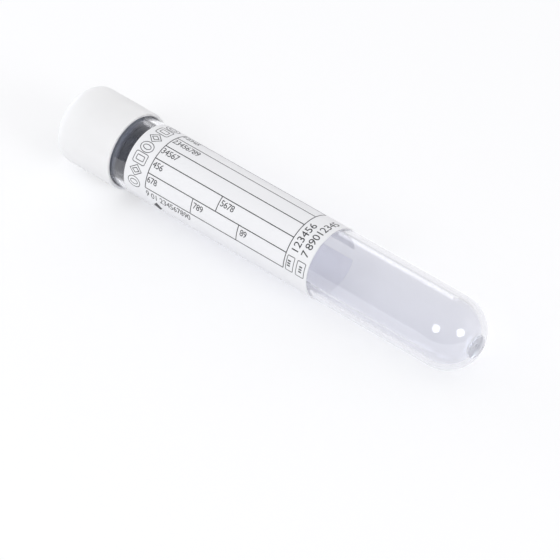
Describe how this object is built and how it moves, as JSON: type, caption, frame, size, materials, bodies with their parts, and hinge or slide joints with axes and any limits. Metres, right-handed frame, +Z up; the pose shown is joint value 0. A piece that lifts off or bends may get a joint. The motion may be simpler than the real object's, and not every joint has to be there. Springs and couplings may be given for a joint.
{
  "type": "blood collection tube",
  "caption": "Evacuated blood collection tube: a clear round-bottomed plastic tube with a paper label, closed by a white cap over a dark rubber stopper.",
  "frame": {"origin": "under the middle of the overall length, on the plane that the cap's side rests on", "axes": "+X along the tube from the cap to the round end, +Z up, the tube's axis horizontal 8.95 mm above the origin"},
  "size_m": [0.1106, 0.0178, 0.0179],
  "materials": {
    "clear_plastic": "clear polished polyester",
    "label_paper": "white coated label paper",
    "white_plastic": "white satin polyethylene",
    "black_plastic": "black satin polyethylene",
    "dark_rubber": "smooth near-black butyl rubber"
  },
  "bodies": {
    "barrel": {"tube": "clear_plastic", "label": "label_paper"},
    "closure": {"cap": "white_plastic", "cap_ring": "black_plastic", "stopper": "dark_rubber"}
  },
  "joints": [
    {"name": "closure_pull", "type": "slide", "parent": "barrel", "child": "closure", "axis": [-1, 0, 0], "range_m": [0, 0.035]}
  ]
}
